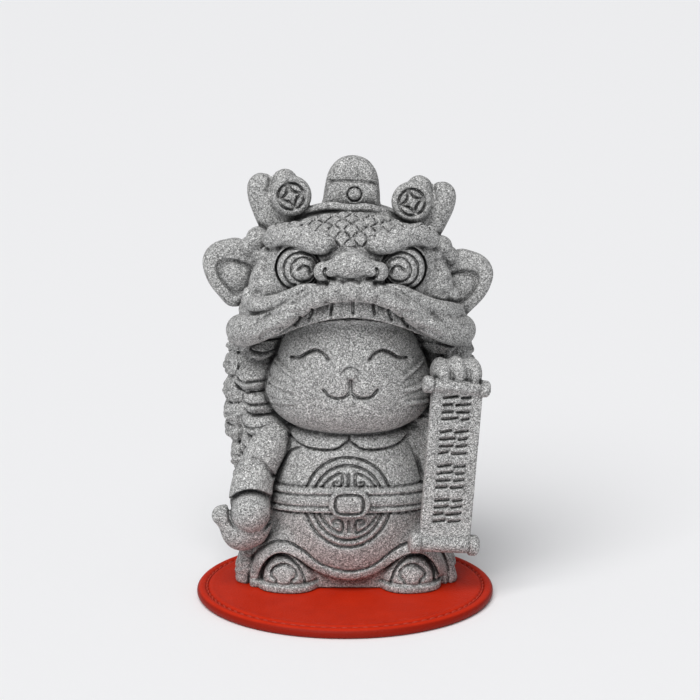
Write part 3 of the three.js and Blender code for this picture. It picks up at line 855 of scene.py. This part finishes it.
def smile(block):
    """The cat's closed eyes, nose, mouth and whiskers."""
    eyes = [[(6.5, 80.4), (8.2, 82.2), (10.8, 83), (13.6, 81.8), (16.2, 79.9), (18.8, 79.2)]]
    lids = [[(x, z + 1.7) for x, z in eyes[0][:5]]]
    block.engrave(mirrored(lids, FACE_X - 0.2), 3, -1, -5)
    block.engrave(mirrored(eyes, FACE_X - 0.2), 1.8, 1.5, -5)
    nose = [[(0, 74), (0.1, 70.2)], [(0, 70.2), (1.6, 68.4), (4.2, 67.7), (6.8, 68.2), (8.8, 70.4)]]
    block.join(egg((FACE_X + 0.4, -25.6, 75.6), (2.4, 2, 1.9)), 0.6)
    block.engrave(mirrored(nose, FACE_X + 0.3), 1.7, 1.6, -10)
    tip = [[(-1.9, 76.2), (-0.8, 77.6), (1, 78), (2.8, 77.4), (3.8, 76)]]
    block.engrave(tip, 1.4, 1.1, -10)
    whiskers = [
        [(18, 73.4), (21.5, 75), (24.6, 76.6)], [(18.8, 68.9), (22.4, 69.2), (26.6, 70)],
        [(19.4, 64.4), (22.6, 64), (26, 63.2)],
    ]
    block.engrave(mirrored(whiskers, FACE_X), 1.9, -0.9, -4)
    shadows = [[(x, z + off) for x, z in line] for line in whiskers for off in (-1.2, 1.2)]
    block.engrave(mirrored(shadows, FACE_X), 1.3, 0.5, -4)


def medallion(block):
    """Rings round a fret, which go under the belt."""
    middle_z = 31.4
    rings = [round_line(0, middle_z, wide, high, 6) for wide, high in ((14.2, 14.9), (11.6, 12.4))]
    hooks = [
        [(9.6, 3.6), (7.6, 6.6), (5, 8.8), (2.4, 9.6), (2.3, 5.8), (4.8, 5.6), (4.9, 6.8), (3.8, 6.9)],
        [(0, 9.6), (0, 5.6)],
    ]
    fret = [[(x, middle_z + up * z) for x, z in line] for line in hooks for up in (-1, 1)]
    paths = [curve(line, 5) for line in (*rings, *mirrored(fret, 0.3))]
    edge = BELT_HEIGHT / 2

    def depth_at(x, y, z):
        gap = np.min([line_gap(x, z, path) for path in paths], axis=0)
        return 1.5 * bump(gap, 1.6) * ramp(np.abs(z - belt_middle(x)), edge, edge + 0.5)

    block.carve((-16, BLOCK_LOW[1], 15), (16, -8, 48), depth_at)


def figure():
    """The whole figure, joined piece by piece and cut flat where it stands."""
    block = Block()
    costume(block)
    head(block)
    smile(block)
    lion_face(block)
    lion_lines(block)
    hat_top(block)
    robe(block)
    medallion(block)
    belt(block)
    collar(block)
    shoes(block)
    shoe_clouds(block)
    arm_with_ingot(block)
    arm_with_paw(block)
    scroll(block)
    ground = Form(BLOCK_LOW, (*BLOCK_HIGH[:2], 0), lambda x, y, z: z + 0 * x + 0 * y)
    block.cut(ground, 0.4)
    return block


# Meshes

def mesh_object(name, points, faces):
    mesh = bpy.data.meshes.new(name)
    mesh.from_pydata([tuple(p) for p in points], [], [tuple(f) for f in faces])
    mesh.update()
    made = bpy.data.objects.new(name, mesh)
    bpy.context.scene.collection.objects.link(made)
    return made


def settled(made):
    """Makes an object's modifiers part of its mesh."""
    shaped = bpy.data.meshes.new_from_object(made.evaluated_get(bpy.context.evaluated_depsgraph_get()))
    made.modifiers.clear()
    made.data = shaped
    return made


def painted_shade_of(block, points, normals):
    """How deep in a hollow each place on the surface lies, from 0 on open stone to 1, for the granite's
    painted shade.
    """
    recess = np.zeros(len(points))
    last = np.array(block.distance.shape) - 1.001
    for reach, weight in ((0.8, 0.5), (2, 0.35), (4.5, 0.15)):
        at = np.clip((points + normals * reach - block.low) / PITCH, 0, last)
        base = np.floor(at).astype(int)
        share = at - base
        clear = np.zeros(len(points))
        for corner in np.ndindex(2, 2, 2):
            part = np.prod(np.where(corner, share, 1 - share), axis=1)
            clear += part * block.distance[tuple((base + corner).T)]
        recess += weight * (1 - np.clip(clear / reach, 0, 1))
    return recess


def cast(block):
    """The stone's surface as a mesh within its limit of triangles."""
    grid = openvdb.FloatGrid()
    grid.copyFromArray(np.ascontiguousarray(block.distance, dtype=np.float32))
    points, quads = grid.convertToQuads(0.0)
    places = (points * PITCH + block.low + FIGURE_PLACE) * MM
    mesh = bpy.data.meshes.new("lucky_cat")
    mesh.vertices.add(len(places))
    mesh.vertices.foreach_set("co", places.astype(np.float32).ravel())
    mesh.loops.add(quads.size)
    mesh.loops.foreach_set("vertex_index", quads.ravel().astype(np.int32))
    mesh.polygons.add(len(quads))
    mesh.polygons.foreach_set("loop_start", np.arange(0, quads.size, 4, dtype=np.int32))
    mesh.update(calc_edges=True)
    mesh.validate()
    made = bpy.data.objects.new("lucky_cat", mesh)
    bpy.context.scene.collection.objects.link(made)
    if 2 * len(quads) > TRIANGLES:
        thin = made.modifiers.new("thin", "DECIMATE")
        thin.ratio = TRIANGLES / (2 * len(quads))
        settled(made)
    made.data.polygons.foreach_set("use_smooth", np.ones(len(made.data.polygons), bool))
    count = len(made.data.vertices)
    points, normals = np.zeros(3 * count, np.float32), np.zeros(3 * count, np.float32)
    made.data.vertices.foreach_get("co", points)
    made.data.vertex_normals.foreach_get("vector", normals)
    # How deep each place lies, kept as the attribute recess, which the granite uses for painted shade.
    recess = painted_shade_of(block, points.reshape(-1, 3) / MM - FIGURE_PLACE, normals.reshape(-1, 3))
    made.data.attributes.new("recess", "FLOAT", "POINT").data.foreach_set("value", recess.astype(np.float32))
    return made


def ring_mesh(name, radii, heights):
    """A round mesh: rows of radius and height, with a column for each turn."""
    turns = np.arange(PAD_TURNS) * 2 * math.pi / PAD_TURNS
    points = np.stack([radii * np.cos(turns), radii * np.sin(turns), heights], axis=-1)
    rows = len(points)
    poles = [(0, 0, float(heights[row].mean())) for row in (0, -1)]
    flat = np.concatenate([points.reshape(-1, 3), poles]) * MM
    faces = []
    for row in range(rows - 1):
        for turn in range(PAD_TURNS):
            after = (turn + 1) % PAD_TURNS
            faces.append((row * PAD_TURNS + turn, row * PAD_TURNS + after,
                          (row + 1) * PAD_TURNS + after, (row + 1) * PAD_TURNS + turn))
    last = (rows - 1) * PAD_TURNS
    for turn in range(PAD_TURNS):
        after = (turn + 1) % PAD_TURNS
        faces.append((rows * PAD_TURNS, after, turn))
        faces.append((rows * PAD_TURNS + 1, last + turn, last + after))
    made = mesh_object(name, flat, faces)
    made.data.polygons.foreach_set("use_smooth", np.ones(len(faces), bool))
    return made


def pad():
    """A leather disc with a rolled rim, pulled in along its seam by the stitches."""
    turns = np.arange(PAD_TURNS) * 2 * math.pi / PAD_TURNS
    pull = 0.5 + 0.5 * np.cos(turns * STITCH_COUNT)
    half = PAD_THICKNESS / 2
    rows = [(PAD_RADIUS - half - 2, 0)]
    for angle in np.radians(np.arange(-90, 91, 15)):
        rows.append((PAD_RADIUS - half + half * math.cos(angle), half + half * math.sin(angle)))
    near_seam = np.arange(PAD_RADIUS - half - 0.2, STITCH_RADIUS - 2.4, -0.2)
    outer = [(radius, PAD_THICKNESS) for radius in near_seam]
    inner = [(radius, PAD_THICKNESS) for radius in (43.6, 42, 39, 35, 30, 24, 18, 12, 6, 2)]
    radii, heights = np.array(rows + outer + inner).T
    off = radii[:, None] - STITCH_RADIUS
    top = (heights[:, None] > half) & (radii[:, None] < PAD_RADIUS - half + 1.2)
    seam = (0.56 + 0.16 * pull) * bump(off, 1.8 + 0.3 * pull) - 0.16 * bump(np.abs(off) - 1.8, 2.2)
    return ring_mesh("pad", radii[:, None] + 0 * turns, heights[:, None] - np.where(top, seam, 0))


def stitches():
    """Short round stitches laid end to end in the seam."""
    points, faces = [], []
    around, rings = 8, 9
    for stitch in range(STITCH_COUNT):
        middle = (stitch + 0.5) * 2 * math.pi / STITCH_COUNT
        start = len(points)
        for ring in range(rings):
            share = 2 * ring / (rings - 1) - 1
            thick = THREAD_RADIUS * math.sqrt(max(1 - abs(share) ** 3.5, 0.02))
            turn = middle + share * STITCH_LENGTH / 2 / STITCH_RADIUS
            lift = PAD_THICKNESS - 0.3 - 0.34 * share * share
            for side in range(around):
                angle = 2 * math.pi * side / around
                radius = STITCH_RADIUS + thick * math.cos(angle) + 0.16 * share
                height = lift + thick * math.sin(angle)
                points.append((radius * math.cos(turn), radius * math.sin(turn), height))
        for ring in range(rings - 1):
            for side in range(around):
                after = (side + 1) % around
                low, high = start + ring * around, start + (ring + 1) * around
                faces.append((low + side, high + side, high + after, low + after))
        faces.append([start + side for side in range(around)])
        faces.append([start + (rings - 1) * around + side for side in reversed(range(around))])
    made = mesh_object("stitches", np.array(points) * MM, faces)
    made.data.polygons.foreach_set("use_smooth", np.ones(len(faces), bool))
    return made


cat = cast(figure())
disc = pad()
thread = stitches()


# Materials

def shader(name, colour, roughness):
    made = bpy.data.materials.new(name)
    made.use_nodes = True
    surface = made.node_tree.nodes["Principled BSDF"]
    surface.inputs["Base Color"].default_value = (*colour, 1)
    surface.inputs["Roughness"].default_value = roughness
    return made, made.node_tree, surface


def granite():
    """Grey stone of fine light and dark grains, with painted shade where it lies deep."""
    made, tree, surface = shader("granite", (0.33, 0.33, 0.325), 0.8)
    new, link = tree.nodes.new, tree.links.new
    place = new("ShaderNodeTexCoord")
    tones = []
    for scale in (GRAIN_FINE, GRAIN_COARSE):
        grain = new("ShaderNodeTexVoronoi")
        grain.inputs["Scale"].default_value = scale
        link(place.outputs["Object"], grain.inputs["Vector"])
        parted = new("ShaderNodeSeparateColor")
        link(grain.outputs["Color"], parted.inputs["Color"])
        tone = new("ShaderNodeValToRGB")
        tone.color_ramp.elements[0].color = (0.02, 0.02, 0.02, 1)
        tone.color_ramp.elements[1].color = (0.94, 0.94, 0.925, 1)
        tone.color_ramp.elements.new(0.68).color = (0.35, 0.35, 0.345, 1)
        link(parted.outputs["Red"], tone.inputs["Fac"])
        tones.append(tone)
    mixed = new("ShaderNodeMix")
    mixed.data_type = "RGBA"
    mixed.inputs["Factor"].default_value = 0.3
    link(tones[0].outputs["Color"], mixed.inputs["A"])
    link(tones[1].outputs["Color"], mixed.inputs["B"])
    # Painted shade: the grains are multiplied towards 0.15 grey by the recess attribute, darker the deeper a
    # place lies in a hollow.
    deep = new("ShaderNodeAttribute")
    deep.attribute_name = "recess"
    reach = new("ShaderNodeMapRange")
    reach.inputs["From Min"].default_value = 0.18
    reach.inputs["From Max"].default_value = 0.7
    link(deep.outputs["Fac"], reach.inputs["Value"])
    shade = new("ShaderNodeMix")
    shade.data_type = "RGBA"
    shade.blend_type = "MULTIPLY"
    shade.inputs["B"].default_value = (0.15, 0.15, 0.15, 1)
    link(reach.outputs["Result"], shade.inputs["Factor"])
    link(mixed.outputs["Result"], shade.inputs["A"])
    link(shade.outputs["Result"], surface.inputs["Base Color"])
    rough = new("ShaderNodeBump")
    rough.inputs["Strength"].default_value = 0.25
    rough.inputs["Distance"].default_value = 0.00012
    link(tones[0].outputs["Color"], rough.inputs["Height"])
    link(rough.outputs["Normal"], surface.inputs["Normal"])
    return made


def leather():
    """Red leather with a fine grain, a soft sheen and painted shade on its rolled rim."""
    made, tree, surface = shader("leather", (0.5, 0.028, 0.01), 0.5)
    surface.inputs["Specular IOR Level"].default_value = 0.1
    new, link = tree.nodes.new, tree.links.new
    place = new("ShaderNodeTexCoord")
    cells = new("ShaderNodeTexVoronoi")
    cells.feature = "DISTANCE_TO_EDGE"
    cells.inputs["Scale"].default_value = 900
    link(place.outputs["Object"], cells.inputs["Vector"])
    grain = new("ShaderNodeBump")
    grain.inputs["Strength"].default_value = 0.7
    grain.inputs["Distance"].default_value = 0.0002
    link(cells.outputs["Distance"], grain.inputs["Height"])
    link(grain.outputs["Normal"], surface.inputs["Normal"])
    cloud = new("ShaderNodeTexNoise")
    cloud.inputs["Scale"].default_value = 160
    cloud.inputs["Detail"].default_value = 6
    link(place.outputs["Object"], cloud.inputs["Vector"])
    tone = new("ShaderNodeValToRGB")
    tone.color_ramp.elements[0].color = (0.42, 0.015, 0.003, 1)
    tone.color_ramp.elements[1].color = (0.58, 0.027, 0.006, 1)
    link(cloud.outputs["Fac"], tone.inputs["Fac"])
    # Painted shade: the rim darkens from 0.97 of the pad's thickness down to full (0.25, 0.01, 0.003) at 0.8
    # of it and below.
    parted = new("ShaderNodeSeparateXYZ")
    link(place.outputs["Object"], parted.inputs["Vector"])
    edge = new("ShaderNodeMapRange")
    edge.inputs["From Min"].default_value = 0.8 * PAD_THICKNESS * MM
    edge.inputs["From Max"].default_value = 0.97 * PAD_THICKNESS * MM
    link(parted.outputs["Z"], edge.inputs["Value"])
    rim = new("ShaderNodeMix")
    rim.data_type = "RGBA"
    rim.inputs["A"].default_value = (0.25, 0.01, 0.003, 1)
    link(edge.outputs["Result"], rim.inputs["Factor"])
    link(tone.outputs["Color"], rim.inputs["B"])
    link(rim.outputs["Result"], surface.inputs["Base Color"])
    return made


def yarn():
    made, _, _ = shader("yarn", (0.42, 0.03, 0.012), 0.7)
    return made


cat.data.materials.append(granite())
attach(cat, "root")
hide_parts("lion_dance_cat")

disc.data.materials.append(leather())
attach(disc, "root")
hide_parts("leather_pad")

thread.data.materials.append(yarn())
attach(thread, "root")
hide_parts("pad_stitching")


# The floor, the light and the camera

def stage():
    floor = mesh_object("floor", [(-3, -3, 0), (3, -3, 0), (3, 3, 0), (-3, 3, 0)], [(0, 1, 2, 3)])
    pale, _, _ = shader("pale_floor", (0.9, 0.9, 0.91), 0.7)
    floor.data.materials.append(pale)
    world = bpy.data.worlds.new("studio")
    world.use_nodes = True
    sky = world.node_tree.nodes["Background"]
    sky.inputs["Color"].default_value = (0.97, 0.98, 1, 1)
    sky.inputs["Strength"].default_value = SKY_STRENGTH
    bpy.context.scene.world = world
    bpy.context.scene.view_settings.view_transform = "Standard"
    data = bpy.data.lights.new("key", "SUN")
    data.energy = KEY_STRENGTH
    data.angle = math.radians(KEY_SPREAD)
    lamp = bpy.data.objects.new("key", data)
    lamp.rotation_euler = Vector(KEY_FROM).to_track_quat("Z", "Y").to_euler()
    bpy.context.scene.collection.objects.link(lamp)


def camera():
    data = bpy.data.cameras.new("camera")
    data.sensor_width = SENSOR_WIDTH
    data.lens = CAMERA_LENS
    made = bpy.data.objects.new("camera", data)
    made.location = CAMERA_PLACE
    made.rotation_euler = (math.radians(CAMERA_TILT), 0, 0)
    bpy.context.scene.collection.objects.link(made)
    bpy.context.scene.camera = made


stage()
camera()
